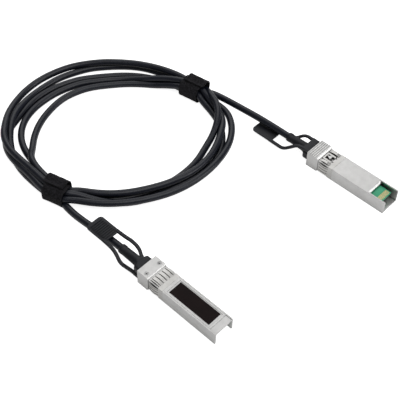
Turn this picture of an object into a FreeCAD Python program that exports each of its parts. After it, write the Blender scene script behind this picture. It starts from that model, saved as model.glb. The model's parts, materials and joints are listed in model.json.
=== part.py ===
"""Direct attach copper cable: two small form-factor plugs on one loosely coiled cable.

Each plug is built in its own frame: x runs from the plug's nose back along the
cable, y across the plug, and z from the latch side (0) up to the label side.
The plugs are then laid side by side on the table, plug "a" with its label side
up and plug "b" turned over.  Lengths are in millimetres, angles in degrees.
"""
import FreeCAD, Part
import math
import os
import re

import Sketcher

DIMENSIONS = [
    # plug envelope
    ("body_length", 47.5, "nose to the front of the head"),
    ("body_width", 13.4, "across the body"),
    ("body_height", 8.5, "latch side to label side"),
    ("wall", 0.85, "side wall of the base"),
    ("floor_thickness", 1.9, "latch-side floor of the base"),
    ("rear_wall", 1.5, "base's wall in front of the head"),
    ("head_length", 8.0, "head that stays outside the cage"),
    ("head_side", 0.15, "head beyond the body on each side"),
    ("head_width", "=body_width + 2 * head_side", "across the head"),
    ("head_rise", 0.6, "head above the label side"),
    ("head_drop", 1.3, "head below the latch side"),
    ("head_split", 6.2, "height of the joint between base and cover"),
    ("head_chamfer", 1.0, "chamfer along the head's lower front edge"),
    ("cover_chamfer", 0.6, "chamfer along the head's upper front edge"),
    ("grip_count", 5, "grip grooves across the head"),
    ("grip_pitch", 1.3, "spacing of the grip grooves"),
    ("grip_width", 0.6, "width of a grip groove"),
    ("grip_depth", 0.25, "depth of a grip groove"),
    ("grip_start", 1.6, "head front to the first grip groove"),
    ("window_length", 11.0, "open part of the floor behind the nose"),
    ("window_bevel", 0.9, "bevel along the window's rear edge"),
    ("fit_gap", 0.05, "clearance between seated parts"),
    # cover
    ("cover_thickness", 0.9, "cover plate"),
    ("cover_ledge", 0.5, "ledge in the base that carries the cover"),
    ("nose_step_length", 4.2, "lowered tip of the cover"),
    ("nose_step_depth", 0.25, "how far the tip is lowered"),
    ("recess_start", 5.4, "nose to the label recess"),
    ("recess_gap", 1.8, "label recess to the collar"),
    ("recess_side", 1.8, "label recess to the body's side"),
    ("recess_length", "=collar_start - recess_start - recess_gap", "label recess along the plug"),
    ("recess_width", "=body_width - 2 * recess_side", "label recess across the plug"),
    ("recess_depth", 0.2, "depth of the label recess"),
    ("label_margin", 1.0, "recess round the label's ends"),
    ("label_side", 0.5, "recess round the label's sides"),
    ("label_length", "=recess_length - 2 * label_margin", "label along the plug"),
    ("label_width", "=recess_width - 2 * label_side", "label across the plug"),
    ("label_thickness", 0.1, "label"),
    # cover screws
    ("screw_x", 3.1, "head front to the screws"),
    ("screw_offset", 4.7, "screws from the plug's middle"),
    ("screw_shank", 1.4, "screw shank diameter"),
    ("screw_head", 2.4, "screw head diameter"),
    ("screw_head_height", 0.7, "screw head"),
    ("screw_length", 5.6, "screw under its head"),
    ("screw_room", 0.2, "hole beyond the screw's end"),
    ("screw_seat_depth", 0.8, "counterbore in the cover"),
    ("drive_depth", 0.4, "cross recess in the screw head"),
    ("drive_length", 1.4, "cross recess across its arms"),
    ("drive_width", 0.35, "one arm of the cross recess"),
    # edge card
    ("card_inset", 3.2, "nose to the card's edge"),
    ("card_height", 2.25, "latch side to the card's underside"),
    ("card_thickness", 1.0, "card"),
    ("tongue_side", 0.7, "contact tongue narrower than the card on each side"),
    ("tongue_width", "=card_width - 2 * tongue_side", "card's contact tongue"),
    ("tongue_length", 8.0, "length of the contact tongue"),
    ("card_width", "=body_width - 2 * (wall + cover_ledge + fit_gap)", "card between the walls"),
    ("card_length", 29.0, "card"),
    ("rail_width", 1.3, "rails on the floor that carry the card"),
    ("rail_start", 1.5, "window to the rails"),
    ("contact_count", 10, "contacts on each side of the card"),
    ("contact_pitch", 0.8, "spacing of the contacts"),
    ("contact_width", 0.5, "width of a contact"),
    ("contact_length", 3.0, "length of a contact"),
    ("contact_inset", 0.5, "card's edge to the contacts"),
    ("contact_thickness", 0.05, "contact plating"),
    ("chip_length", 3.0, "memory chip along the card"),
    ("chip_width", 2.4, "memory chip across the card"),
    ("chip_height", 0.8, "memory chip"),
    ("chip_start", 12.0, "card's edge to the chip"),
    # cable and what holds it
    ("cable_diameter", 4.2, "outer jacket"),
    ("lead_straight", 7.5, "cable straight out of the boot"),
    ("axis_height", 4.25, "latch side to the cable's axis"),
    ("pair_height", 1.1, "shielded pair, flat way"),
    ("pair_width", 1.8, "shielded pair, wide way"),
    ("pair_bevel", 0.35, "bevelled corners of a pair's jacket"),
    ("pair_spacing", 2.0, "between the two pairs"),
    ("pair_lap", 3.5, "pair lying on the card"),
    ("pair_flat", 6.0, "straight stretch at the card"),
    ("pair_rear", 5.0, "straight stretch at the cable"),
    ("throat_width", 4.8, "square passage from the body into the head"),
    ("ferrule_inset", 0.4, "head front to the crimp ferrule"),
    ("ferrule_length", 4.2, "crimp ferrule"),
    ("ferrule_wall", 0.6, "crimp ferrule at its flats"),
    ("tongue_depth", 3.0, "boot's root inside the head"),
    ("root_width", 7.6, "boot's root across"),
    ("root_height", 4.8, "boot's root"),
    ("flange_length", 4.8, "boot's flange behind the head"),
    ("flange_width", 10.4, "boot's flange across"),
    ("flange_bottom", 2.0, "latch side to the underside of the flange"),
    ("flange_height", 5.6, "boot's flange"),
    ("flange_bevel", 1.2, "bevelled corners of the flange"),
    ("sleeve_diameter", 5.6, "boot's round sleeve"),
    ("sleeve_length", 14.7, "sleeve behind the flange"),
    ("sleeve_bevel", 0.4, "bevelled lip of the sleeve"),
    # spring-finger collar
    ("collar_reach", 10.3, "collar's front edge to the head"),
    ("collar_start", "=body_length - collar_reach", "nose to the collar"),
    ("collar_inset", 0.2, "recess in the body under the collar"),
    ("collar_sheet", 0.2, "collar sheet"),
    ("collar_band", 3.0, "plain band of the collar"),
    ("finger_length", 6.6, "spring finger"),
    ("finger_bulge", 0.45, "how far a finger bows out"),
    ("finger_tuck", 0.05, "tip of a finger above the body"),
    ("finger_rise", 0.35, "share of a finger that rises from the band"),
    ("finger_flat", 0.3, "share of a finger along its crest"),
    ("finger_pitch", 2.35, "spacing of the fingers on the wide faces"),
    ("side_pitch", 2.0, "spacing of the fingers on the narrow faces"),
    ("slot_width", 0.4, "slot between two fingers"),
    ("slot_count", 5, "slots across a wide face"),
    ("side_slot_count", 3, "slots across a narrow face"),
    ("finger_margin", 0.9, "body corner to the outer finger"),
    # latch
    ("latch_reach", 6.5, "latch pocket in front of the head"),
    ("latch_start", "=body_length - latch_reach", "nose to the latch pocket"),
    ("latch_width", 7.4, "latch pocket across"),
    ("latch_depth", 1.3, "latch pocket"),
    ("tip_slot_length", 1.0, "slots that take the slide's tips"),
    ("tip_slot_width", 0.8, "one slot across"),
    ("tip_slot_offset", 1.8, "slots from the plug's middle"),
    ("boss_inset", 2.0, "latch pocket's front to the boss"),
    ("boss_start", "=latch_start + boss_inset", "nose to the latch boss"),
    ("boss_length", 3.0, "latch boss"),
    ("boss_width", 3.0, "latch boss across"),
    ("boss_height", 0.45, "boss below the latch side"),
    ("slide_width", 6.2, "latch slide across"),
    ("slide_thickness", 0.7, "latch slide"),
    ("slide_gap", 0.1, "running clearance round the slide"),
    ("slide_bottom", 0.2, "latch side to the slide's underside"),
    ("slide_tip", 0.4, "latch pocket's front to the tine tips"),
    ("slot_clear", 0.3, "tines from the boss"),
    ("slide_tail", 3.6, "slide inside the pull tab"),
    ("slide_ramp", 0.55, "ramp on the tips of the tines"),
    ("ear_reach", 2.2, "spring ear beyond the slide"),
    ("ear_length", 0.8, "spring ear along the slide"),
    ("ear_start", 1.0, "head front to the spring ears"),
    ("spring_length", 5.2, "return spring at rest"),
    ("spring_diameter", 1.8, "return spring, outside"),
    ("spring_wire", 0.3, "return spring wire"),
    ("spring_turns", 5, "turns of the return spring"),
    ("spring_facets", 8, "straight stretches in a turn of the spring"),
    ("spring_room", 0.2, "clearance round the return spring"),
    # pull tab
    ("tab_gap", 0.35, "head to the pull tab's root"),
    ("tab_root_length", 4.6, "pull tab's root"),
    ("tab_root_width", 11.0, "pull tab's root across"),
    ("tab_root_bottom", -0.8, "latch side to the root's underside"),
    ("tab_root_height", 1.95, "pull tab's root"),
    ("tab_root_round", 0.7, "rounded edges of the root"),
    ("arm_width", 1.7, "pull tab's eight-sided arms across their flats"),
    ("arm_flare", 6.5, "arms from the middle at their widest"),
    ("arm_flare_x", 9.2, "head to the widest place of the arms"),
    ("arm_rise_x", 18.2, "head to the top of the arms' rise"),
    ("pad_start", 26.6, "head to the grip pad"),
    ("pad_length", 15.0, "grip pad"),
    ("pad_width", 12.0, "grip pad across"),
    ("pad_thickness", 1.2, "grip pad"),
    ("pad_clear", 0.6, "cable to the grip pad"),
    ("pad_round", 2.2, "rounded corners of the pad"),
    ("rib_count", 9, "ribs across the pad"),
    ("rib_pitch", 1.4, "spacing of the ribs"),
    ("rib_width", 0.7, "width of a rib"),
    ("rib_height", 0.35, "height of a rib"),
    ("tab_sway_a", -0.6, "pad of plug a off the plug's middle"),
    ("tab_sway_b", -2.7, "pad of plug b off the plug's middle"),
    # how the plugs and the coil lie
    ("plug_spacing", 128.3, "between the two plugs' middles"),
    ("plug_stagger", 10.5, "nose of plug a behind the nose of plug b"),
    ("coil_centre_x", 104.0, "middle of the coil"),
    ("coil_centre_y", 1.0, "middle of the coil"),
    ("coil_height", 10.0, "coil from the table to its top"),
    ("coil_bevel", 2.4, "chamfered edges of the coil"),
    ("strap_width", 13.5, "strap along the bundle"),
    ("strap_thickness", 1.2, "strap"),
    ("strap_clear", 0.3, "strap from the bundle"),
    ("strap_inside", 10.8, "width of the bundle in a strap"),
    ("strap_round", 4.2, "rounded corners of a strap"),
]

# Radii of the coil's outer and inner edge, every 30 degrees from +X towards +Y.
COIL_OUTER = [69.5, 71.0, 68.0, 66.0, 64.5, 63.0, 67.0, 72.5, 67.0, 63.0, 61.5, 64.0]
COIL_INNER = [41.0, 44.0, 49.0, 53.0, 55.0, 55.5, 57.0, 57.5, 54.0, 48.5, 40.5, 38.5]

# Where each strap sits: its angle on the coil, its bundle's mid radius and how far the
# bundle is turned there from the coil's round.
STRAPS = {"strap_1": (104.0, 60.8, 0.0), "strap_2": (258.5, 57.3, 20.0)}

# Routes of the two leads into the coil, after the straight stretch that leaves each boot.
LEADS = {
    "a": [(49.0, 64.7, 6.1), (60.5, 65.1, 4.9), (71.0, 64.9, 4.1), (80.4, 63.6, 3.8)],
    "b": [(42.5, -63.4, 5.9), (56.5, -62.9, 5.2), (70.5, -63.4, 4.4), (83.0, -62.6, 4.6)],
}

# How much of the shorter run beside a corner its tangent arc takes up.
RUN_SHARE = 0.45

# Sides of the pull tab's arms and of the two leads.
ARM_SIDES = 8
LEAD_SIDES = 12

# Sweep mode that extends the straight runs of a route until they meet.
MITRED = 1

DOC = FreeCAD.newDocument("direct_attach_cable")
V = FreeCAD.Vector


# ---------------------------------------------------------------- sheet

def make_sheet():
    """The driving dimensions, one row each: alias, value and meaning."""
    sheet = DOC.addObject("Spreadsheet::Sheet", "Dims")
    for row, (alias, value, meaning) in enumerate(DIMENSIONS, start=1):
        sheet.set("A%d" % row, alias)
        sheet.set("B%d" % row, str(value))
        sheet.set("C%d" % row, meaning)
        sheet.setAlias("B%d" % row, alias)
    DOC.recompute()
    return sheet


SHEET = make_sheet()
ALIAS = re.compile(r"\b(%s)\b" % "|".join(row[0] for row in DIMENSIONS))


def dim(alias):
    return float(SHEET.get(alias))


def bind(obj, prop, formula):
    """Tie a property to a formula written with the sheet's aliases."""
    obj.setExpression(prop, ALIAS.sub(r"Dims.\1", formula))


# ---------------------------------------------------------------- small helpers

def block(name, x, y, z):
    """A box between pairs of formulas along x, y and z."""
    box = DOC.addObject("Part::Box", name)
    for (low, high), size, axis in zip((x, y, z), ("Length", "Width", "Height"), "xyz"):
        bind(box, size, "(%s) - (%s)" % (high, low))
        bind(box, "Placement.Base." + axis, low)
    return box


def middle(width):
    """The two formulas of a width centred on the plug."""
    return "-(%s) / 2" % width, "(%s) / 2" % width


def around_axis(half):
    """The two formulas of a height centred on the cable's axis."""
    return "axis_height - (%s)" % half, "axis_height + (%s)" % half


def rod(name, radius, x, y="0", z="axis_height"):
    """A cylinder along x between a pair of formulas."""
    bar = DOC.addObject("Part::Cylinder", name)
    bar.Placement.Rotation = FreeCAD.Rotation(V(0, 1, 0), 90)
    bind(bar, "Radius", radius)
    bind(bar, "Height", "(%s) - (%s)" % (x[1], x[0]))
    bind(bar, "Placement.Base.x", x[0])
    bind(bar, "Placement.Base.y", y)
    bind(bar, "Placement.Base.z", z)
    return bar


def hexagon_rod(name, half_width, x):
    """A hexagonal bar on the cable's axis, its flats above and below."""
    bar = DOC.addObject("Part::Prism", name)
    bar.Polygon = 6
    bar.Placement.Rotation = FreeCAD.Rotation(V(0, 1, 0), 90) * FreeCAD.Rotation(V(0, 0, 1), 30)
    bind(bar, "Circumradius", "(%s) / cos(30 deg)" % half_width)
    bind(bar, "Height", "(%s) - (%s)" % (x[1], x[0]))
    bind(bar, "Placement.Base.x", x[0])
    bind(bar, "Placement.Base.z", "axis_height")
    return bar


def post(name, radius, x, y, z):
    """A cylinder along z between a pair of formulas."""
    pin = DOC.addObject("Part::Cylinder", name)
    bind(pin, "Radius", radius)
    bind(pin, "Height", "(%s) - (%s)" % (z[1], z[0]))
    bind(pin, "Placement.Base.x", x)
    bind(pin, "Placement.Base.y", y)
    bind(pin, "Placement.Base.z", z[0])
    return pin


def join(name, parts):
    fuse = DOC.addObject("Part::MultiFuse", name)
    fuse.Shapes = parts
    fuse.Refine = True
    return fuse


def cut(name, base, tools):
    tool = tools[0] if len(tools) == 1 else join(name + "_tool", tools)
    result = DOC.addObject("Part::Cut", name)
    result.Base = base
    result.Tool = tool
    result.Refine = True
    return result


def origin_plane(body, role):
    return next(plane for plane in body.Origin.OriginFeatures if plane.Role == role)


def new_sketch(body, name, role, offset):
    """A sketch on one of the body's own origin planes, moved along its normal."""
    sketch = body.newObject("Sketcher::SketchObject", name)
    sketch.AttachmentSupport = (origin_plane(body, role), [""])
    sketch.MapMode = "FlatFace"
    bind(sketch, "AttachmentOffset.Base.z", offset)
    return sketch


def constrain(sketch, name, formula, kind, *targets):
    """A named driving dimension of a sketch, tied to a formula."""
    index = sketch.addConstraint(Sketcher.Constraint(kind, *targets, 1.0))
    sketch.renameConstraint(index, name)
    bind(sketch, "Constraints." + name, formula)


def plate_body(name, x, width, z):
    """A padded rectangle centred on the plug, between formulas along x and z."""
    body = DOC.addObject("PartDesign::Body", name)
    sketch = new_sketch(body, name + "_outline", "XY_Plane", z[0])
    corners = [V(1, -1, 0), V(2, -1, 0), V(2, 1, 0), V(1, 1, 0)]
    for start, end in zip(corners, corners[1:] + corners[:1]):
        sketch.addGeometry(Part.LineSegment(start, end))
    for side, kind in enumerate(("Horizontal", "Vertical", "Horizontal")):
        sketch.addConstraint(Sketcher.Constraint(kind, side))
    for side in range(4):
        sketch.addConstraint(Sketcher.Constraint("Coincident", side, 2, (side + 1) % 4, 1))
    sketch.addConstraint(Sketcher.Constraint("Symmetric", 0, 1, 3, 1, -1))
    constrain(sketch, "start", x[0], "DistanceX", -1, 1, 0, 1)
    constrain(sketch, "length", "(%s) - (%s)" % (x[1], x[0]), "DistanceX", 0, 1, 0, 2)
    constrain(sketch, "width", width, "DistanceY", 1, 1, 1, 2)
    pad = body.newObject("PartDesign::Pad", name + "_pad")
    pad.Profile = sketch
    bind(pad, "Length", "(%s) - (%s)" % (z[1], z[0]))
    return body


def bar_body(name, diameter, x):
    """A padded circle on the cable's axis, between formulas along x."""
    body = DOC.addObject("PartDesign::Body", name)
    sketch = new_sketch(body, name + "_section", "YZ_Plane", x[0])
    sketch.addGeometry(Part.Circle(V(0, 1, 0), V(0, 0, 1), 1))
    sketch.addConstraint(Sketcher.Constraint("PointOnObject", 0, 3, -2))
    constrain(sketch, "height", "axis_height", "DistanceY", -1, 1, 0, 3)
    constrain(sketch, "diameter", diameter, "Diameter", 0)
    pad = body.newObject("PartDesign::Pad", name + "_pad")
    pad.Profile = sketch
    bind(pad, "Length", "(%s) - (%s)" % (x[1], x[0]))
    return body


def edges_where(shape, test):
    return [index for index, edge in enumerate(shape.Edges, start=1) if test(edge)]


def along(edge, axis):
    """True for a straight edge that runs along "x", "y" or "z"."""
    if not isinstance(edge.Curve, Part.Line):
        return False
    return abs(abs(getattr(edge.Curve.Direction, axis)) - 1) < 1e-6


def soften(kind, name, base, size, test):
    """A Part::Fillet or Part::Chamfer on the edges that pass the test."""
    DOC.recompute()
    feature = DOC.addObject("Part::" + kind, name)
    feature.Base = base
    feature.Edges = [(index, size, size) for index in edges_where(base.Shape, test)]
    return feature


def near(value, target):
    return abs(value - target) < 0.01


def solid_feature(name, shape):
    feature = DOC.addObject("Part::Feature", name)
    feature.Shape = shape
    return feature


def corner_arc(before, corner, after):
    """The tangent arc that takes most of the shorter run at a corner, and its radius."""
    turn = (corner - before).getAngle(after - corner)
    setback = RUN_SHARE * min((corner - before).Length, (after - corner).Length)
    radius = setback / math.tan(turn / 2)
    to_start = (before - corner).normalize()
    to_end = (after - corner).normalize()
    bisector = (to_start + to_end).normalize()
    depth = radius * (1 / math.cos(turn / 2) - 1)
    arc = Part.Arc(corner + to_start * setback, corner + bisector * depth, corner + to_end * setback)
    return arc, radius


def run(start, end):
    return Part.LineSegment(start, end).toShape()


def rounded_wire(points):
    """Straight runs joined by tangent arcs, and the arcs' radii."""
    edges = []
    radii = []
    start = points[0]
    for corner in zip(points, points[1:], points[2:]):
        arc, radius = corner_arc(*corner)
        edges += [run(start, arc.StartPoint), arc.toShape()]
        radii.append(radius)
        start = arc.EndPoint
    edges.append(run(start, points[-1]))
    return Part.Wire(edges), radii


def eased_route(points):
    """Straight runs with each corner cut off where a tangent arc would start and end."""
    route = [points[0]]
    for corner in zip(points, points[1:], points[2:]):
        arc, _ = corner_arc(*corner)
        route += [arc.StartPoint, arc.EndPoint]
    return Part.makePolygon(route + [points[-1]])


def polygon_section(start, direction, width, sides):
    """Regular polygon across a route, measured over its flats."""
    across = direction.cross(V(0, 0, 1)).normalize()
    up = across.cross(direction).normalize()
    reach = width / 2 / math.cos(math.pi / sides)
    corners = []
    for index in range(sides + 1):
        angle = math.pi * (2 * index + 1) / sides
        corners.append(start + across * (reach * math.cos(angle)) + up * (reach * math.sin(angle)))
    return Part.makePolygon(corners)


def sweep(points, section):
    """A bar of one section along a route of straight runs and arcs."""
    path, radii = rounded_wire(points)
    return path.makePipeShell([section], True, False), path, radii


def bevelled_frame(width, height, bevel):
    """Corners of an upright rectangle with bevelled corners, round its own middle."""
    half_width = width / 2
    half_height = height / 2
    corners = []
    for side, level in ((1, -1), (1, 1), (-1, 1), (-1, -1)):
        flat = (side * half_width, level * (half_height - bevel))
        edge = (side * (half_width - bevel), level * half_height)
        corners += [flat, edge] if side == level else [edge, flat]
    return corners


# ---------------------------------------------------------------- placing the plugs

def plug_tilt(end):
    """A plug rests on its nose and on the front edge of its head, so it leans a little."""
    stand = dim("head_drop") if end == "a" else dim("head_rise")
    return math.degrees(math.atan(stand / (dim("body_length") + dim("head_chamfer"))))


def plug_placement(end):
    reach = dim("body_length") + dim("head_length") + dim("pad_start") + dim("pad_length")
    nose_x = -(reach + dim("plug_stagger")) / 2
    side = dim("plug_spacing") / 2
    lean = FreeCAD.Rotation(V(0, 1, 0), -plug_tilt(end))
    if end == "a":
        return FreeCAD.Placement(V(nose_x + dim("plug_stagger"), side, 0), lean)
    turned_over = FreeCAD.Rotation(V(1, 0, 0), 180)
    lift = dim("body_height") * math.cos(math.radians(plug_tilt(end)))
    return FreeCAD.Placement(V(nose_x, -side, lift), lean * turned_over)


SUBPARTS = []


def keep(obj, label, end=None):
    """Name a finished sub-part and, for a plug's piece, lay it where its plug lies."""
    obj.Label = label if end is None else "%s_%s" % (label, end)
    if end is not None:
        obj.Placement = plug_placement(end).multiply(obj.Placement)
    SUBPARTS.append(obj)
    return obj


# ---------------------------------------------------------------- die-cast base

HEAD_FRONT = "body_length"
HEAD_REAR = "body_length + head_length"


def collar_seat(end, which):
    """The shallow recess round the body that the collar sits in."""
    outer = block("seat_outer_%s_%s" % (which, end), ("collar_start - fit_gap", HEAD_FRONT),
                  middle("body_width + 2"), ("-1", "body_height + 1"))
    inner = block("seat_inner_%s_%s" % (which, end), ("collar_start - 1", HEAD_FRONT),
                  middle("body_width - 2 * collar_inset"),
                  ("collar_inset", "body_height - collar_inset"))
    return cut("collar_seat_%s_%s" % (which, end), outer, [inner])


def cable_passage(end, which):
    """Square room in the head for the pairs, the ferrule, the cable and the boot's root."""
    tag = "%s_%s" % (which, end)
    throat = block("throat_" + tag, (HEAD_FRONT + " - rear_wall - 1", HEAD_FRONT + " + 1"),
                   middle("throat_width"), around_axis("throat_width / 2"))
    seat_half = "cable_diameter / 2 + ferrule_wall + fit_gap"
    seat = block("ferrule_seat_" + tag,
                 (HEAD_FRONT + " + ferrule_inset - fit_gap",
                  HEAD_FRONT + " + ferrule_inset + ferrule_length + fit_gap"),
                 middle("2 * (%s) / cos(30 deg)" % seat_half), around_axis(seat_half))
    neck = block("neck_" + tag, (HEAD_FRONT + " + 1", HEAD_REAR + " + 1"),
                 middle("cable_diameter + 2 * fit_gap"), around_axis("cable_diameter / 2 + fit_gap"))
    root = block("root_seat_" + tag, (HEAD_REAR + " - tongue_depth - fit_gap", HEAD_REAR + " + 1"),
                 middle("root_width + 2 * fit_gap"), around_axis("root_height / 2 + fit_gap"))
    return join("cable_passage_" + tag, [throat, seat, neck, root])


def grip_grooves(end):
    grooves = []
    for index in range(int(dim("grip_count"))):
        start = HEAD_FRONT + " + grip_start + %d * grip_pitch" % index
        grooves.append(block("grip_groove_%d_%s" % (index, end), (start, start + " + grip_width"),
                             middle("head_width + 2"), ("-head_drop - 1", "-head_drop + grip_depth")))
    return grooves


def latch_boss(end):
    """Three-cornered boss whose point faces the head."""
    half = dim("boss_width") / 2
    front = dim("boss_start")
    bottom = -dim("boss_height")
    point = front + dim("boss_length")
    outline = Part.makePolygon([V(front, -half, bottom), V(front, half, bottom),
                                V(point, 0, bottom), V(front, -half, bottom)])
    height = dim("boss_height") + dim("latch_depth") + dim("fit_gap")
    return solid_feature("latch_boss_" + end, Part.Face(outline).extrude(V(0, 0, height)))


def spring_pockets(end):
    """Two pockets beside the slide, each for an ear of the slide and its return spring."""
    pockets = []
    for side, name in ((1, "left"), (-1, "right")):
        inner = "slide_width / 2"
        outer = "slide_width / 2 + ear_reach + spring_room"
        y = (inner, outer) if side > 0 else ("-(%s)" % outer, "-(%s)" % inner)
        pocket_end = HEAD_FRONT + " + ear_start + ear_length + spring_length"
        centre = "slide_bottom + slide_thickness / 2"
        half = "spring_diameter / 2 + spring_room"
        pockets.append(block("spring_pocket_%s_%s" % (name, end),
                             (HEAD_FRONT + " + ear_start - spring_room", pocket_end), y,
                             ("%s - (%s)" % (centre, half), "%s + (%s)" % (centre, half))))
    return pockets


def slide_channel(end):
    """The flat passage that the latch slide runs in, open into the latch pocket."""
    width = "slide_width + 2 * slide_gap"
    return block("slide_channel_" + end, (HEAD_FRONT + " - 0.5", HEAD_REAR + " + 1"), middle(width),
                 ("slide_bottom - slide_gap", "slide_bottom + slide_thickness + slide_gap"))


def window_bevel(end):
    """Wedge that bevels the rear edge of the window in the floor."""
    edge = dim("window_length")
    size = dim("window_bevel")
    half = dim("body_width") / 2 - dim("wall")
    outline = Part.makePolygon([V(edge - 1, -half, -1), V(edge + size + 1, -half, -1),
                                V(edge - 1, -half, size + 1), V(edge - 1, -half, -1)])
    return solid_feature("window_wedge_" + end, Part.Face(outline).extrude(V(0, 2 * half, 0)))


def housing_base(end):
    """Die-cast base: floor, side walls, lower head, latch pocket and card rails."""
    body = block("base_body_" + end, ("0", HEAD_FRONT), middle("body_width"), ("0", "body_height"))
    head = block("base_head_" + end, (HEAD_FRONT, HEAD_REAR), middle("head_width"),
                 ("-head_drop", "head_split"))
    front = dim("body_length")
    head = soften("Chamfer", "base_head_edges_" + end, head, dim("head_chamfer"),
                  lambda edge: along(edge, "y") and near(edge.CenterOfMass.x, front)
                  and edge.CenterOfMass.z < 0)
    room = block("base_room_" + end, ("window_length", HEAD_FRONT + " - rear_wall"),
                 middle("body_width - 2 * wall - 2 * cover_ledge"), ("floor_thickness", "body_height + 1"))
    lid_room = block("lid_room_" + end, ("-1", HEAD_FRONT + " + fit_gap"), middle("body_width - 2 * wall"),
                     ("body_height - cover_thickness", "body_height + 1"))
    window = block("window_" + end, ("-1", "window_length"), middle("body_width - 2 * wall"),
                   ("-1", "body_height + 1"))
    pocket = block("latch_pocket_" + end, ("latch_start", HEAD_FRONT), middle("latch_width"),
                   ("-1", "latch_depth"))
    tips = []
    for side, name in ((1, "left"), (-1, "right")):
        centre = "%d * tip_slot_offset" % side
        tips.append(block("tip_slot_%s_%s" % (name, end), ("latch_start - tip_slot_length", "latch_start + 1"),
                          (centre + " - tip_slot_width / 2", centre + " + tip_slot_width / 2"),
                          ("-1", "latch_depth / 2")))
    holes = []
    screw_end = "body_height + head_rise - screw_seat_depth - screw_length"
    for side, name in ((1, "left"), (-1, "right")):
        holes.append(post("base_hole_%s_%s" % (name, end), "screw_shank / 2", HEAD_FRONT + " + screw_x",
                          "%d * screw_offset" % side, (screw_end + " - screw_room", "body_height + 2")))
    tools = [room, lid_room, window, window_bevel(end), pocket, collar_seat(end, "base"),
             cable_passage(end, "base"), slide_channel(end)]
    tools += tips + holes + grip_grooves(end) + spring_pockets(end)
    shell = cut("base_shell_" + end, join("base_blank_" + end, [body, head]), tools)
    rails = []
    for side, name in ((1, "left"), (-1, "right")):
        inner = "body_width / 2 - wall - cover_ledge - rail_width"
        outer = "body_width / 2 - wall - cover_ledge"
        y = (inner, outer) if side > 0 else ("-(%s)" % outer, "-(%s)" % inner)
        rails.append(block("card_rail_%s_%s" % (name, end),
                           ("window_length + rail_start", "card_inset + card_length"), y,
                           ("floor_thickness", "card_height")))
    base = join("housing_base_" + end, [shell, latch_boss(end)] + rails)
    return keep(base, "housing_base", end)


# ---------------------------------------------------------------- cover and its fastenings

def housing_cover(end):
    """Cover plate between the walls, with the upper half of the head."""
    plate = block("cover_plate_" + end, ("0", HEAD_FRONT + " + 0.5"),
                  middle("body_width - 2 * wall - 2 * fit_gap"),
                  ("body_height - cover_thickness", "body_height"))
    head = block("cover_head_" + end, (HEAD_FRONT, HEAD_REAR), middle("head_width"),
                 ("head_split", "body_height + head_rise"))
    front = dim("body_length")
    top = dim("body_height") + dim("head_rise")
    head = soften("Chamfer", "cover_head_edges_" + end, head, dim("cover_chamfer"),
                  lambda edge: along(edge, "y") and near(edge.CenterOfMass.x, front)
                  and near(edge.CenterOfMass.z, top))
    step = block("nose_step_" + end, ("-1", "nose_step_length"), middle("body_width"),
                 ("body_height - nose_step_depth", "body_height + 1"))
    recess = block("label_recess_" + end, ("recess_start", "recess_start + recess_length"),
                   middle("recess_width"), ("body_height - recess_depth", "body_height + 1"))
    band = block("cover_band_" + end, ("collar_start - fit_gap", HEAD_FRONT),
                 middle("body_width"), ("body_height - collar_inset", "body_height + 1"))
    tools = [step, recess, band, cable_passage(end, "cover")]
    for side, name in ((1, "left"), (-1, "right")):
        x = HEAD_FRONT + " + screw_x"
        y = "%d * screw_offset" % side
        tools.append(post("cover_hole_%s_%s" % (name, end), "screw_shank / 2 + fit_gap", x, y,
                          ("head_split - 1", "body_height + 2")))
        tools.append(post("screw_seat_%s_%s" % (name, end), "screw_head / 2 + fit_gap", x, y,
                          ("body_height + head_rise - screw_seat_depth", "body_height + 2")))
    cover = cut("housing_cover_" + end, join("cover_blank_" + end, [plate, head]), tools)
    return keep(cover, "housing_cover", end)


def cover_screws(end):
    """Two cross-recess screws that clamp the cover to the base."""
    screws = []
    for side, name in ((1, "left"), (-1, "right")):
        tag = "%s_%s" % (name, end)
        x = HEAD_FRONT + " + screw_x"
        y = "%d * screw_offset" % side
        seat = "body_height + head_rise - screw_seat_depth"
        top = seat + " + screw_head_height"
        head = post("screw_head_" + tag, "screw_head / 2", x, y, (seat, top))
        shank = post("screw_shank_" + tag, "screw_shank / 2", x, y, (seat + " - screw_length", seat + " + 0.1"))
        arms = []
        for length, width, arm in (("drive_length", "drive_width", "x"), ("drive_width", "drive_length", "y")):
            arms.append(block("drive_%s_%s" % (arm, tag),
                              ("%s - %s / 2" % (x, length), "%s + %s / 2" % (x, length)),
                              ("%s - %s / 2" % (y, width), "%s + %s / 2" % (y, width)),
                              (top + " - drive_depth", top + " + 1")))
        screws.append(cut("screw_" + tag, join("screw_blank_" + tag, [head, shank]), arms))
    pair = DOC.addObject("Part::Compound", "cover_screws_" + end)
    pair.Links = screws
    return keep(pair, "cover_screws", end)


def label(end):
    """Thin plain label in the cover's recess."""
    start = "recess_start + (recess_length - label_length) / 2"
    low = "body_height - recess_depth"
    sheet = plate_body("label_" + end, (start, start + " + label_length"), "label_width",
                       (low, low + " + label_thickness"))
    return keep(sheet, "label", end)


# ---------------------------------------------------------------- spring-finger collar

def finger_profile():
    """Section of a finger along x and outward: a folded strip that starts at the band."""
    start = dim("collar_start") + dim("collar_band") - dim("collar_sheet")
    length = dim("finger_length")
    rise = start + dim("finger_rise") * length
    fall = rise + dim("finger_flat") * length
    bulge = dim("finger_bulge")
    inner = [V(start, 0, 0), V(rise, 0, bulge), V(fall, 0, bulge), V(start + length, 0, dim("finger_tuck"))]
    outer = [point + V(0, 0, dim("collar_sheet")) for point in reversed(inner)]
    return Part.Face(Part.makePolygon(inner + outer + inner[:1]))


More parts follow.
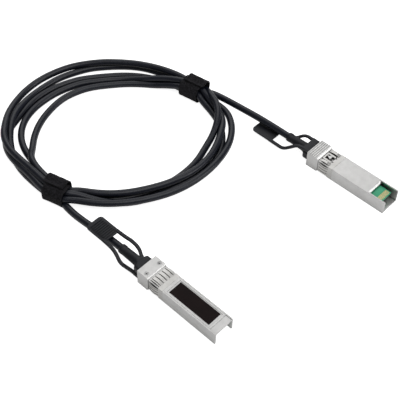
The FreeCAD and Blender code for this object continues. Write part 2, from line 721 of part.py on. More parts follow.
def finger_row(width, count, pitch, gap_width=0.0):
    """A row of fingers across a face, centred on y, with slots between them."""
    span = width - 2 * dim("finger_margin")
    row = finger_profile().extrude(V(0, span, 0))
    row.translate(V(0, -span / 2, 0))
    start = dim("collar_start") + dim("collar_band")
    length = dim("finger_length") + dim("collar_sheet")
    low = -dim("collar_sheet")
    height = dim("finger_bulge") + 3 * dim("collar_sheet")
    tools = []
    for index in range(count):
        centre = (index - (count - 1) / 2) * pitch
        corner = V(start, centre - dim("slot_width") / 2, low)
        tools.append(Part.makeBox(length, dim("slot_width"), height, corner))
    if gap_width:
        front = start - 2 * dim("collar_sheet")
        corner = V(front, -gap_width / 2, low)
        tools.append(Part.makeBox(start + length - front, gap_width, height, corner))
    return row.cut(tools)


def emi_collar(end):
    """Stamped collar: a band round the body with bowed spring fingers on all four faces."""
    inset = dim("collar_inset")
    width = dim("body_width") - 2 * inset
    height = dim("body_height") - 2 * inset
    sheet = dim("collar_sheet")
    start = dim("collar_start")
    band_length = dim("collar_band")
    outer = Part.makeBox(band_length, width + 2 * sheet, height + 2 * sheet,
                         V(start, -width / 2 - sheet, inset - sheet))
    inner = Part.makeBox(band_length + 2, width, height, V(start - 1, -width / 2, inset))
    pieces = [outer.cut(inner)]
    wide = int(dim("slot_count"))
    narrow = int(dim("side_slot_count"))
    top = finger_row(width, wide, dim("finger_pitch"))
    bottom = finger_row(width, 0, dim("finger_pitch"), dim("latch_width") + 2 * dim("fit_gap"))
    side = finger_row(height, narrow, dim("side_pitch"))
    middle_z = dim("body_height") / 2
    for row, turn, offset in ((top, 0, height / 2), (side, 90, width / 2),
                              (bottom, 180, height / 2), (side, 270, width / 2)):
        placed = row.copy()
        placed.translate(V(0, 0, offset))
        placed.rotate(V(0, 0, 0), V(1, 0, 0), turn)
        placed.translate(V(0, 0, middle_z))
        pieces.append(placed)
    collar = pieces[0].fuse(pieces[1:]).removeSplitter()
    return keep(solid_feature("emi_collar_" + end, collar.Solids[0]), "emi_collar", end)


# ---------------------------------------------------------------- card and conductors

def paddle_card(end):
    """Edge card: a narrow contact tongue in front of the wider part between the rails."""
    height = ("card_height", "card_height + card_thickness")
    tongue = block("card_tongue_" + end, ("card_inset", "card_inset + tongue_length + 1"),
                   middle("tongue_width"), height)
    back = block("card_back_" + end, ("card_inset + tongue_length", "card_inset + card_length"),
                 middle("card_width"), height)
    card = join("paddle_card_" + end, [tongue, back])
    return keep(card, "paddle_card", end)


def contact_pads(end):
    """Gold contacts along both faces of the card's edge."""
    pads = []
    levels = (("under", "card_height - contact_thickness", "card_height"),
              ("upper", "card_height + card_thickness", "card_height + card_thickness + contact_thickness"))
    for face, low, high in levels:
        for index in range(int(dim("contact_count"))):
            centre = "(%d - (contact_count - 1) / 2) * contact_pitch" % index
            start = "card_inset + contact_inset"
            pads.append(block("contact_%s_%d_%s" % (face, index, end), (start, start + " + contact_length"),
                              (centre + " - contact_width / 2", centre + " + contact_width / 2"), (low, high)))
    group = DOC.addObject("Part::Compound", "contact_pads_" + end)
    group.Links = pads
    return keep(group, "contact_pads", end)


def memory_chip(end):
    """The small memory chip that identifies the cable."""
    start = "card_inset + chip_start"
    low = "card_height + card_thickness"
    chip = plate_body("memory_chip_" + end, (start, start + " + chip_length"), "chip_width",
                      (low, low + " + chip_height"))
    return keep(chip, "memory_chip", end)


def twinax_pairs(end):
    """Two flat shielded pairs from the cable's end to the rear of the card."""
    pairs = []
    lap = dim("card_inset") + dim("card_length") - dim("pair_lap")
    rear = dim("body_length") + dim("ferrule_inset")
    low = dim("card_height") + dim("card_thickness") + dim("pair_height") / 2
    high = dim("axis_height")
    frame = bevelled_frame(dim("pair_width"), dim("pair_height"), dim("pair_bevel"))
    for side in (1, -1):
        y = side * dim("pair_spacing") / 2
        route = Part.makePolygon([V(lap, y, low), V(lap + dim("pair_flat"), y, low),
                                  V(rear - dim("pair_rear"), y, high), V(rear, y, high)])
        section = Part.makePolygon([V(lap, y + across, low + up) for across, up in frame + frame[:1]])
        pairs.append(route.makePipeShell([section], True, False, MITRED))
    return keep(solid_feature("twinax_pairs_" + end, Part.makeCompound(pairs)), "twinax_pairs", end)


def cable_ferrule(end):
    """Hexagonal crimp ferrule that holds the cable's jacket in the head."""
    x = (HEAD_FRONT + " + ferrule_inset", HEAD_FRONT + " + ferrule_inset + ferrule_length")
    outer = hexagon_rod("ferrule_outer_" + end, "cable_diameter / 2 + ferrule_wall", x)
    bore = rod("ferrule_bore_" + end, "cable_diameter / 2", (x[0] + " - 1", x[1] + " + 1"))
    return keep(cut("cable_ferrule_" + end, outer, [bore]), "cable_ferrule", end)


BOOT_END = HEAD_REAR + " + flange_length + sleeve_length"


def cable_end(end):
    """The straight end of the cable, from the ferrule out to the end of the boot."""
    stub = bar_body("cable_end_" + end, "cable_diameter", (HEAD_FRONT + " + ferrule_inset", BOOT_END))
    return keep(stub, "cable_end", end)


def strain_boot(end):
    """Moulded boot: root in the head, block flange behind it, round sleeve on the cable."""
    root = block("boot_root_" + end, (HEAD_REAR + " - tongue_depth", HEAD_REAR + " + 0.5"),
                 middle("root_width"), around_axis("root_height / 2"))
    flange = block("boot_flange_" + end, (HEAD_REAR, HEAD_REAR + " + flange_length"), middle("flange_width"),
                   ("flange_bottom", "flange_bottom + flange_height"))
    rear = dim("body_length") + dim("head_length") + dim("flange_length")
    flange = soften("Chamfer", "boot_flange_edges_" + end, flange, dim("flange_bevel"),
                    lambda edge: edge.CenterOfMass.x > rear - dim("flange_length") + 0.1)
    sleeve = rod("boot_sleeve_" + end, "sleeve_diameter / 2", (HEAD_REAR + " + 1", BOOT_END))
    tip = rear + dim("sleeve_length")
    sleeve = soften("Chamfer", "boot_lip_" + end, sleeve, dim("sleeve_bevel"),
                    lambda edge: near(edge.CenterOfMass.x, tip) and isinstance(edge.Curve, Part.Circle))
    bore = rod("boot_bore_" + end, "cable_diameter / 2", (HEAD_FRONT, BOOT_END + " + 1"))
    boot = cut("strain_boot_" + end, join("boot_blank_" + end, [root, flange, sleeve]), [bore])
    return keep(boot, "strain_boot", end)


# ---------------------------------------------------------------- latch release

def latch_slide(end):
    """Stamped slide: two tines round the boss, spring ears, and a tail in the pull tab."""
    z = ("slide_bottom", "slide_bottom + slide_thickness")
    front = "latch_start + slide_tip"
    plate = block("slide_plate_" + end, (front, HEAD_REAR + " + tab_gap + slide_tail"),
                  middle("slide_width"), z)
    tip = dim("latch_start") + dim("slide_tip")
    bottom = dim("slide_bottom")
    plate = soften("Chamfer", "slide_ramps_" + end, plate, dim("slide_ramp"),
                   lambda edge: along(edge, "y") and near(edge.CenterOfMass.x, tip)
                   and near(edge.CenterOfMass.z, bottom))
    ears = block("slide_ears_" + end, (HEAD_FRONT + " + ear_start", HEAD_FRONT + " + ear_start + ear_length"),
                 middle("slide_width + 2 * ear_reach"), z)
    gap = block("slide_gap_" + end, (front + " - 1", "boss_start + boss_length + slot_clear"),
                middle("boss_width + 2 * slot_clear"),
                ("slide_bottom - 1", "slide_bottom + slide_thickness + 1"))
    slide = cut("latch_slide_" + end, join("slide_blank_" + end, [plate, ears]), [gap])
    return keep(slide, "latch_slide", end)


def faceted_bar(frames):
    """Solid through a row of equal polygons, its sides split into flat triangles."""
    faces = [Part.Face(Part.makePolygon(frame + frame[:1])) for frame in (frames[0], frames[-1])]
    for near_frame, far_frame in zip(frames, frames[1:]):
        for index, corner in enumerate(near_frame):
            following = (index + 1) % len(near_frame)
            across = far_frame[following]
            faces.append(Part.Face(Part.makePolygon([corner, near_frame[following], across, corner])))
            faces.append(Part.Face(Part.makePolygon([corner, across, far_frame[index], corner])))
    return Part.Solid(Part.Shell(faces))


def spring(length):
    """Square-wire helix in short straight stretches, its axis along z."""
    half = dim("spring_wire") / 2
    radius = dim("spring_diameter") / 2 - half
    facets = int(dim("spring_facets"))
    steps = int(dim("spring_turns")) * facets
    frames = []
    for index in range(steps + 1):
        angle = 2 * math.pi * index / facets
        outward = V(math.cos(angle), math.sin(angle), 0)
        centre = outward * radius + V(0, 0, length * index / steps)
        frames.append([centre + outward * (out * half) + V(0, 0, up * half)
                       for out, up in ((-1, -1), (1, -1), (1, 1), (-1, 1))])
    return faceted_bar(frames)


def return_springs(end):
    """Two compression springs that push the slide back towards the nose."""
    springs = []
    length = dim("spring_length") - dim("spring_wire")
    start = dim("body_length") + dim("ear_start") + dim("ear_length") + dim("spring_wire") / 2
    centre_z = dim("slide_bottom") + dim("slide_thickness") / 2
    for side in (1, -1):
        coil = spring(length)
        coil.rotate(V(0, 0, 0), V(0, 1, 0), 90)
        y = side * (dim("slide_width") + dim("ear_reach")) / 2
        coil.translate(V(start, y, centre_z))
        springs.append(coil)
    return keep(solid_feature("return_springs_" + end, Part.makeCompound(springs)), "return_springs", end)


def grip_pad(end, low, sway):
    """Flat pad with rounded outer corners and a row of ribs across it."""
    start = dim("body_length") + dim("head_length") + dim("pad_start")
    half = dim("pad_width") / 2
    pad = Part.makeBox(dim("pad_length"), 2 * half, dim("pad_thickness"), V(start, sway - half, low))
    far = start + dim("pad_length")
    corners = [edge for edge in pad.Edges if along(edge, "z") and near(edge.CenterOfMass.x, far)]
    pad = pad.makeFillet(dim("pad_round"), corners)
    rib_span = 2 * half - 2 * dim("arm_width")
    rib_top = dim("pad_thickness") / 2 + dim("rib_height")
    count = int(dim("rib_count"))
    first = start + (dim("pad_length") - (count - 1) * dim("rib_pitch") - dim("rib_width")) / 2
    ribs = []
    for index in range(count):
        corner = V(first + index * dim("rib_pitch"), sway - rib_span / 2, low + dim("pad_thickness") / 2)
        ribs.append(Part.makeBox(dim("rib_width"), rib_span, rib_top, corner))
    return pad.fuse(ribs)


def tab_arm(side, low, sway):
    """One arm: out of the root on the latch side, round the boot and up to the pad's rim."""
    head = dim("body_length") + dim("head_length")
    root_z = dim("tab_root_bottom") + dim("tab_root_height") / 2
    pad_z = low + dim("pad_thickness") / 2
    edge = dim("pad_width") / 2 - dim("arm_width") / 2
    root_y = dim("tab_root_width") / 2 - dim("arm_width") / 2
    rise = dim("arm_rise_x")
    widest = dim("arm_flare_x")
    pad_x = head + dim("pad_start")
    points = [V(head + dim("tab_root_length") - 1.5, side * root_y, root_z),
              V(head + dim("tab_root_length") + 0.8, side * (root_y + 0.1), root_z),
              V(head + widest, side * dim("arm_flare"), root_z + 0.4),
              V(head + rise, side * edge + 0.8 * sway, pad_z - 0.3),
              V(pad_x - 1.5, side * edge + sway, pad_z),
              V(pad_x + dim("pad_length") - dim("pad_round"), side * edge + sway, pad_z + 0.2)]
    section = polygon_section(points[0], points[1] - points[0], dim("arm_width"), ARM_SIDES)
    return eased_route(points).makePipeShell([section], True, False, MITRED)


def pull_tab(end):
    """Moulded pull tab: root over the slide's tail, two arms round the boot, ribbed pad."""
    sway = dim("tab_sway_" + end)
    low = dim("axis_height") + dim("cable_diameter") / 2 + dim("pad_clear")
    head = dim("body_length") + dim("head_length")
    start = head + dim("tab_gap")
    half = dim("tab_root_width") / 2
    root = Part.makeBox(dim("tab_root_length"), 2 * half, dim("tab_root_height"),
                        V(start, -half, dim("tab_root_bottom")))
    root = root.makeFillet(dim("tab_root_round"), [edge for edge in root.Edges if along(edge, "x")])
    tab = root.fuse([grip_pad(end, low, sway), tab_arm(1, low, sway), tab_arm(-1, low, sway)])
    tail = Part.makeBox(dim("slide_tail") + 1, dim("slide_width"), dim("slide_thickness"),
                        V(start - 1, -dim("slide_width") / 2, dim("slide_bottom")))
    tab = tab.cut(tail).removeSplitter()
    return keep(solid_feature("pull_tab_" + end, tab.Solids[0]), "pull_tab", end)


# ---------------------------------------------------------------- cable, coil and straps

def coil_outline(radii):
    """Closed outline through one radius for each equal step of angle, and through their means."""
    centre = V(dim("coil_centre_x"), dim("coil_centre_y"), 0)
    eased = []
    for radius, following in zip(radii, radii[1:] + radii[:1]):
        eased += [radius, (radius + following) / 2]
    corners = []
    for index, radius in enumerate(eased):
        angle = 2 * math.pi * index / len(eased)
        corners.append(centre + V(math.cos(angle), math.sin(angle), 0) * radius)
    return Part.makePolygon(corners + corners[:1])


def strap_placement(name):
    angle, radius, turn = STRAPS[name]
    centre = V(dim("coil_centre_x"), dim("coil_centre_y"), 0)
    centre += V(math.cos(math.radians(angle)), math.sin(math.radians(angle)), 0) * radius
    return FreeCAD.Placement(centre, FreeCAD.Rotation(V(0, 0, 1), angle + turn))


def strap_block(name, width, length, z):
    """A box across a strap's place: width across the bundle, length along it."""
    box = Part.makeBox(width, length, z[1] - z[0], V(-width / 2, -length / 2, z[0]))
    box.Placement = strap_placement(name)
    return box


def along_bundle(shape, name):
    """The edges that run along the bundle at a strap."""
    direction = strap_placement(name).Rotation.multVec(V(0, 1, 0))
    return [edge for edge in shape.Edges
            if isinstance(edge.Curve, Part.Line) and abs(edge.Curve.Direction.dot(direction)) > 0.999]


def strap(name):
    """Hook-and-loop strap, one closed band round the bundle."""
    thickness = dim("strap_thickness")
    width = dim("strap_width")
    top = dim("coil_height") + dim("strap_clear")
    outer = strap_block(name, dim("strap_inside") + 2 * thickness, width, (0, top + thickness))
    outer = outer.makeFillet(dim("strap_round"), along_bundle(outer, name))
    inner = strap_block(name, dim("strap_inside"), width + 2 * thickness, (thickness, top))
    inner = inner.makeFillet(dim("strap_round") - thickness, along_bundle(inner, name))
    return keep(solid_feature(name, outer.cut(inner)), name)


def cable_coil():
    """Outer shape of the coiled turns, gathered in where each strap holds them."""
    height = dim("coil_height")
    clear = dim("strap_clear")
    bevel = dim("coil_bevel")
    outer = Part.Face(coil_outline(COIL_OUTER)).extrude(V(0, 0, height))
    inner = Part.Face(coil_outline(COIL_INNER)).extrude(V(0, 0, height))
    ring = outer.cut(inner)
    rims = [edge for edge in ring.Edges if abs(edge.BoundBox.ZLength) < 1e-6]
    ring = ring.makeChamfer(bevel, rims)
    length = dim("strap_width") + 2 * clear
    for name in STRAPS:
        ring = ring.cut(strap_block(name, 3 * dim("strap_inside"), length, (-1, height + 1)))
        core = strap_block(name, dim("strap_inside") - 2 * clear, length,
                           (dim("strap_thickness") + clear, height))
        ring = ring.fuse(core.makeChamfer(bevel, along_bundle(core, name)))
    return keep(solid_feature("cable_coil", ring.Solids[0]), "cable_coil")


def cable_lead(end):
    """Free stretch of the cable between a plug's boot and the coil."""
    tip = dim("body_length") + dim("head_length") + dim("flange_length") + dim("sleeve_length")
    exit_points = [plug_placement(end).multVec(V(x, 0, dim("axis_height")))
                   for x in (tip, tip + dim("lead_straight"))]
    route = exit_points + [V(*point) for point in LEADS[end]]
    section = polygon_section(route[0], route[1] - route[0], dim("cable_diameter"), LEAD_SIDES)
    solid, path, radii = sweep(route, section)
    print("lead %s: length %.1f, volume %.1f, radii %s"
          % (end, path.Length, solid.Volume, ", ".join("%.0f" % radius for radius in radii)))
    return keep(solid_feature("cable_lead_" + end, solid), "cable_lead_" + end)


# ---------------------------------------------------------------- build, check and export

PLUG_PIECES = [housing_base, housing_cover, cover_screws, emi_collar, paddle_card, contact_pads,
               memory_chip, twinax_pairs, cable_ferrule, cable_end, strain_boot, latch_slide,
               return_springs, pull_tab]


def build():
    for end in ("a", "b"):
        for make in PLUG_PIECES:
            make(end)
    label("a")
    cable_lead("a")
    cable_lead("b")
    cable_coil()
    for name in STRAPS:
        strap(name)
    DOC.recompute()


def check():
    """Stop before anything is written if an object failed."""
    for obj in DOC.Objects:
        if "Invalid" in obj.State or "Error" in obj.State:
            raise RuntimeError("%s failed to compute" % obj.Name)
    for obj in SUBPARTS:
        if obj.Shape.isNull() or not obj.Shape.isValid():
            raise RuntimeError("%s has no valid shape" % obj.Label)


def export():
    os.makedirs("parts", exist_ok=True)
    for obj in SUBPARTS:
        obj.Shape.exportStep("parts/%s.step" % obj.Label)


build()
check()
export()
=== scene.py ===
"""Direct attach copper cable: finishes, cord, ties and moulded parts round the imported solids.

Lengths are in millimetres and colours are linear, except where a comment says otherwise.
"""
import math
import json

import bpy
import bmesh
from mathutils import Matrix, Vector, noise


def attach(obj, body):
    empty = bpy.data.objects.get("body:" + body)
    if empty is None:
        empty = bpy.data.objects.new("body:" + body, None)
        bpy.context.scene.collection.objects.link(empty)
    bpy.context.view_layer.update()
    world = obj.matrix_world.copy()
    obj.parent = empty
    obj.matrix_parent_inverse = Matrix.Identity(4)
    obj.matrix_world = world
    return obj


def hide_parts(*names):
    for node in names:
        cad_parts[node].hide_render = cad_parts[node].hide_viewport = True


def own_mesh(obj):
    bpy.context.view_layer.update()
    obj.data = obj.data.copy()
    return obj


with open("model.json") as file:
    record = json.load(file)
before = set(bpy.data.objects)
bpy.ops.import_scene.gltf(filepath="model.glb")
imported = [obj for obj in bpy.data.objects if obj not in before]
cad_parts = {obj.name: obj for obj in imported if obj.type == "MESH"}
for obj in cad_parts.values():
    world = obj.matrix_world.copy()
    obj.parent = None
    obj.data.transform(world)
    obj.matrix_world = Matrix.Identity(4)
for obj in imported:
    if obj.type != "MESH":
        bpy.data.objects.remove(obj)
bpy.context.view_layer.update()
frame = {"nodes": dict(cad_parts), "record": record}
NODES = frame["nodes"]
MM = 0.001


# ---------------------------------------------------------------- shared helpers

def mm(x, y, z):
    """A point in Blender's metres."""
    return Vector((x * MM, y * MM, z * MM))


def add_object(name, data):
    obj = bpy.data.objects.new(name, data)
    bpy.context.scene.collection.objects.link(obj)
    return obj


def look_at(obj, target):
    direction = Vector(target) - obj.location
    obj.rotation_euler = direction.to_track_quat("-Z", "Y").to_euler()


def nurbs_curve(name, points, steps):
    """A smooth open curve with these control points, which are in metres."""
    data = bpy.data.curves.new(name, "CURVE")
    data.dimensions = "3D"
    data.resolution_u = steps
    data.use_fill_caps = True
    spline = data.splines.new("NURBS")
    spline.points.add(len(points) - 1)
    for point, place in zip(spline.points, points):
        point.co = (*place, 1)
    spline.order_u = 3
    spline.use_endpoint_u = True
    return add_object(name, data)


def rounded_outline(corners, steps):
    """A closed outline with four rounded corners, from the upper right one anticlockwise.

    Each corner is its round's centre and radius. Each point is followed by its outward direction."""
    points = []
    for quadrant, (x, y, radius) in enumerate(corners):
        for step in range(steps + 1):
            angle = math.radians(90 * quadrant + 90 * step / steps)
            out_x, out_y = math.cos(angle), math.sin(angle)
            points.append((x + radius * out_x, y + radius * out_y, out_x, out_y))
    return points


def smooth(value):
    """From 0 to 1 with level ends."""
    value = min(max(value, 0.0), 1.0)
    return value * value * (3 - 2 * value)


# ---------------------------------------------------------------- camera

# The photograph's own camera, as fitted to it. Both places are in metres.
CAMERA_LENS = 79.95
CAMERA_SENSOR = 36
CAMERA_PLACE = (-0.2020, 0.2487, 0.3842)
CAMERA_TARGET = (0.02805, 0.00625, 0)


def camera():
    data = bpy.data.cameras.new("camera")
    data.lens = CAMERA_LENS
    data.sensor_width = CAMERA_SENSOR
    obj = add_object("camera", data)
    obj.location = CAMERA_PLACE
    look_at(obj, CAMERA_TARGET)
    bpy.context.scene.camera = obj


# ---------------------------------------------------------------- the cord

CABLE = 4.2
# Steps between two control points, and Blender's resolution of the round section.
CABLE_STEPS, CABLE_ROUND_STEPS = 6, 6
COIL_CENTRE = (104.0, 1.0)

# Each strap's middle as an angle in degrees and a radius in the coil, then how many degrees its
# outward direction is turned from that radius.
STRAPS = {"strap_1": (105.5, 62.4, -1.5), "strap_2": (258.1, 57.3, 20.4)}
STRAP_LENGTH = 13.5

# The two leads, from each boot towards the coil. They repeat the solids' routes, apart from lead
# B's last four points, which lie up to 1.3 mm off them to follow the photograph.
LEAD_A = [(31.56, 64.15, 6.26), (39.05, 64.15, 6.46), (49.0, 64.7, 6.1), (60.5, 65.1, 4.9),
          (71.0, 64.9, 4.1), (80.4, 63.6, 3.8)]
LEAD_B = [(21.25, -64.15, 5.18), (28.75, -64.15, 5.27), (42.5, -63.5, 5.9), (56.5, -63.2, 5.2),
          (70.5, -62.8, 4.5), (83.0, -61.4, 4.3)]

# Degrees from one point of a strand to the next, and the angles at which the strands on the far
# side and the near side of the coil begin.
STRAND_STEP = 10
FAR_START = 84
NEAR_START = 246

# Radius and height of each far strand, from its first angle down to -86.
FAR = {
    "crossing": [(60.8, 8.5), (62.6, 8.7), (65.8, 8.8), (67.4, 8.2), (67.2, 7.0), (68.1, 4.8),
                 (68.9, 2.8), (68.9, 2.5), (68.0, 3.0), (66.0, 3.8), (64.0, 4.6), (61.2, 5.4),
                 (58.9, 6.1), (57.4, 6.3), (56.9, 6.4), (56.8, 6.5), (57.2, 6.6), (58.0, 6.7)],
    "second": [(63.7, 3.0), (64.0, 2.5), (64.3, 2.2), (64.3, 4.0), (63.9, 5.8), (63.8, 5.4),
               (62.9, 3.9), (62.5, 2.3), (61.5, 2.1), (61.2, 2.1), (60.1, 2.1), (59.8, 2.1),
               (58.6, 2.1), (58.2, 2.1), (58.4, 2.1), (58.1, 2.1), (57.3, 2.3), (57.4, 2.7)],
    "third": [(63.0, 6.7), (64.8, 6.2), (66.6, 5.2), (67.2, 2.8), (65.5, 2.1), (61.7, 2.1),
              (60.0, 2.1), (58.4, 2.1), (56.3, 2.1), (54.1, 2.1), (52.4, 2.1), (50.2, 2.1),
              (49.1, 2.1), (49.1, 2.1), (49.6, 2.1), (50.3, 2.1), (51.3, 2.1), (52.8, 2.6)],
    "fourth": [(57.0, 2.6), (54.9, 2.1), (56.4, 2.1), (57.7, 2.1), (58.0, 2.1), (57.2, 2.1),
               (55.4, 2.1), (53.2, 2.1), (51.4, 2.1), (49.5, 2.1), (48.2, 2.1), (46.0, 2.1),
               (45.1, 2.1), (45.2, 2.1), (45.6, 2.6), (46.0, 4.2), (48.6, 5.8), (51.8, 7.4)],
    "inner": [(57.0, 6.4), (56.0, 6.0), (52.1, 3.0), (50.2, 2.1), (48.4, 2.1), (46.9, 2.1),
              (45.6, 2.1), (44.9, 2.1), (44.3, 2.1), (43.2, 2.1), (42.3, 2.1), (41.2, 2.1),
              (40.4, 2.1), (40.7, 2.1), (41.7, 2.1), (43.3, 2.1), (45.8, 2.1), (48.9, 4.0)],
}

# Radius and height of each near strand, from its first angle down to 116.
NEAR = {
    "inner": [(63.3, 8.0), (64.0, 9.0), (62.7, 8.0), (60.0, 4.6), (57.2, 2.6), (56.8, 2.1),
              (56.5, 2.1), (56.3, 2.1), (56.4, 2.1), (56.6, 2.1), (57.0, 2.1), (57.6, 2.1),
              (58.2, 2.2), (58.8, 2.5)],
    "upper": [(61.3, 6.4), (64.4, 4.8), (65.8, 5.6), (64.6, 6.2), (63.9, 5.4), (63.0, 5.2),
              (62.0, 5.8), (60.4, 6.3), (58.8, 6.3), (57.5, 6.3), (57.1, 6.3), (57.0, 6.3),
              (57.0, 6.4), (57.4, 6.6)],
    "lower": [(57.2, 4.8), (61.1, 2.6), (64.3, 2.1), (65.8, 2.1), (66.9, 2.1), (66.2, 2.1),
              (63.8, 2.1), (61.6, 2.1), (60.8, 2.1), (61.0, 2.1), (61.4, 2.3), (61.4, 3.4),
              (61.3, 5.4), (61.2, 7.6)],
    "outer": [(64.2, 2.4), (70.2, 2.1), (71.4, 2.1), (70.8, 2.3), (70.0, 4.6), (69.3, 6.1),
              (68.2, 6.3), (67.2, 6.3), (66.2, 6.3), (65.0, 6.3), (64.4, 6.3), (64.3, 6.3),
              (64.4, 6.4), (64.7, 6.6)],
}

# Places in a strap: how far outward from its middle, and the height.
SLOTS = {"low_in": (-2.15, 3.0), "low_out": (2.15, 3.0), "mid_in": (-3.6, 6.75),
         "mid_out": (3.6, 6.75), "top": (0.0, 8.5)}

# The order in which the cable runs through its strands, with the slots by which it enters and
# leaves the strap that follows: strap 2 after a far strand, strap 1 after a near one.
ORDER = [("far", "second", "low_out", "low_in"), ("near", "outer", "mid_out", "mid_out"),
         ("far", "third", "low_in", "mid_out"), ("near", "inner", "low_in", "low_in"),
         ("far", "fourth", "top", "top"), ("near", "upper", "mid_in", "mid_in"),
         ("far", "inner", "mid_in", "mid_in"), ("near", "lower", "top", "top"),
         ("far", "crossing", "mid_out", "low_out")]


def polar(angle, radius, z):
    """A point of the coil from its angle in degrees, its radius and its height."""
    turn = math.radians(angle)
    return mm(COIL_CENTRE[0] + radius * math.cos(turn), COIL_CENTRE[1] + radius * math.sin(turn), z)


def strap_axes(name):
    """Middle of a strap on the table, and the directions outward and along its bundle."""
    angle, radius, turn = STRAPS[name]
    across = math.radians(angle + turn)
    outward = Vector((math.cos(across), math.sin(across), 0))
    return polar(angle, radius, 0), outward, Vector((-outward.y, outward.x, 0))


def through_strap(name, enter, leave):
    """Three points through a strap, the way the cable runs, from one slot to another."""
    centre, outward, along = strap_axes(name)
    points = []
    for share in (0.0, 0.5, 1.0):
        offset = SLOTS[enter][0] * (1 - share) + SLOTS[leave][0] * share
        height = SLOTS[enter][1] * (1 - share) + SLOTS[leave][1] * share
        reach = STRAP_LENGTH * (0.5 - share)
        points.append(centre + outward * offset * MM + along * reach * MM + mm(0, 0, height))
    return points


def coil_points():
    """The coil's turns, from the strap where lead A comes in to the one where lead B goes out."""
    points = through_strap("strap_1", "low_out", "low_out")
    for side, strand, enter, leave in ORDER:
        start, strands, strap_name = ((FAR_START, FAR, "strap_2") if side == "far" else
                                      (NEAR_START, NEAR, "strap_1"))
        points += [polar(start - STRAND_STEP * index, radius, z)
                   for index, (radius, z) in enumerate(strands[strand])]
        points += through_strap(strap_name, enter, leave)
    return points


def cable():
    points = [mm(*point) for point in LEAD_A] + coil_points()
    points += [mm(*point) for point in reversed(LEAD_B)]
    obj = nurbs_curve("cable", points, CABLE_STEPS)
    obj.data.bevel_depth = CABLE / 2 * MM
    obj.data.bevel_resolution = CABLE_ROUND_STEPS
    obj.data.materials.append(MATERIALS["cable_jacket"])
    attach(obj, "cable")
    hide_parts("cable_lead_a", "cable_lead_b", "cable_coil")


# ---------------------------------------------------------------- materials

# Sockets of Blender's mix node when it mixes colours.
MIX_SHARE, MIX_FIRST, MIX_SECOND, MIX_RESULT = 0, 6, 7, 2
OCCLUSION_SAMPLES = 8
BEVEL_SAMPLES = 6

# Painted shade in seams and hollows, from their occlusion: the widest one that counts, the darkest
# share of the colour left in it, and the open shares at which it is darkest and at which it ends.
METAL_HOLLOW_SHADE = (7.0, 0.12, 0.08, 0.42)
METAL_SEAM_SHADE = (2.2, 0.02, 0.22, 0.8)
PLASTIC_SEAM_SHADE = (2.5, 0.12, 0.2, 0.88)
FABRIC_SEAM_SHADE = (3.0, 0.2, 0.2, 0.8)

# Noise over a surface: grains to the metre, octaves and roughness.
METAL_PATCHES = (220, 3, 0.5)
PLASTIC_PATCHES = (160, 4, 0.55)
FABRIC_CLUMPS = (900, 6, 0.75)
FABRIC_PILE = (4200, 5, 0.8)
# Octaves and roughness of the fine grain, whose grains to the metre differ from slot to slot.
METAL_GRAIN = (5, 0.65)
PLASTIC_GRAIN = (3, 0.6)

# The radius to which a metal's edges look rounded, and the angle in degrees from which an edge of
# a tab or a tie is rounded in its mesh.
METAL_EDGE = 0.18
SHARP_EDGE = 35
BEVEL_SEGMENTS = 3

# Stretch of a metal's grain along x, y and z.
EVEN = (1, 1, 1)
BRUSHED = (0.15, 1, 1)

# Each metal's darkest and lightest colour, smoothest and roughest finish, grains to the metre, the
# grain's depth and its stretch.
METALS = {
    "die_cast_zinc": ((0.67, 0.665, 0.655), (0.75, 0.745, 0.735), 0.3, 0.42, 2600, 0.05, EVEN),
    "screw_steel": ((0.5, 0.5, 0.5), (0.62, 0.62, 0.61), 0.25, 0.4, 1800, 0.02, EVEN),
    "collar_steel": ((0.6, 0.59, 0.57), (0.7, 0.69, 0.67), 0.26, 0.38, 1500, 0.01, BRUSHED),
    "contact_gold": ((0.85, 0.66, 0.32), (0.95, 0.78, 0.42), 0.25, 0.35, 1500, 0.01, EVEN),
    "pair_foil": ((0.6, 0.6, 0.62), (0.8, 0.8, 0.82), 0.2, 0.4, 900, 0.1, EVEN),
}

# Each plastic's darkest and lightest colour, smoothest and roughest finish, grains to the metre and
# the grain's depth.
PLASTICS = {
    "card_green": ((0.035, 0.38, 0.19), (0.055, 0.48, 0.25), 0.25, 0.35, 1500, 0.02),
    "chip_black": ((0.015, 0.015, 0.015), (0.03, 0.03, 0.03), 0.4, 0.55, 3000, 0.02),
    "cable_jacket": ((0.006, 0.0078, 0.0145), (0.0115, 0.014, 0.0235), 0.24, 0.36, 2400, 0.04),
    "boot_black": ((0.0042, 0.005, 0.009), (0.0078, 0.009, 0.0145), 0.42, 0.56, 2600, 0.05),
    "tab_black": ((0.0045, 0.0055, 0.0095), (0.009, 0.0105, 0.0165), 0.4, 0.55, 2600, 0.06),
    "label_brown": ((0.006, 0.0022, 0.0022), (0.010, 0.0038, 0.0036), 0.35, 0.5, 2200, 0.01),
}
LABEL_GLOSS = 0.12

# The ties' pile: the colour between its clumps and on them, with the shares of the noise at which
# they begin, the smoothest and roughest finish, and the depth of the clumps and of the pile.
PILE_DARK = (0.0006, 0.0006, 0.001)
PILE_LIGHT = (0.036, 0.034, 0.041)
PILE_RANGE = (0.38, 0.7)
PILE_ROUGHNESS = (0.85, 1.0)
CLUMP_DEPTH = 0.7
PILE_DEPTH = 0.25
PILE_STRENGTH = 0.9
PILE_GLOSS = 0.25
PILE_SHEEN = 0.03
PILE_SHEEN_ROUGHNESS = 0.5


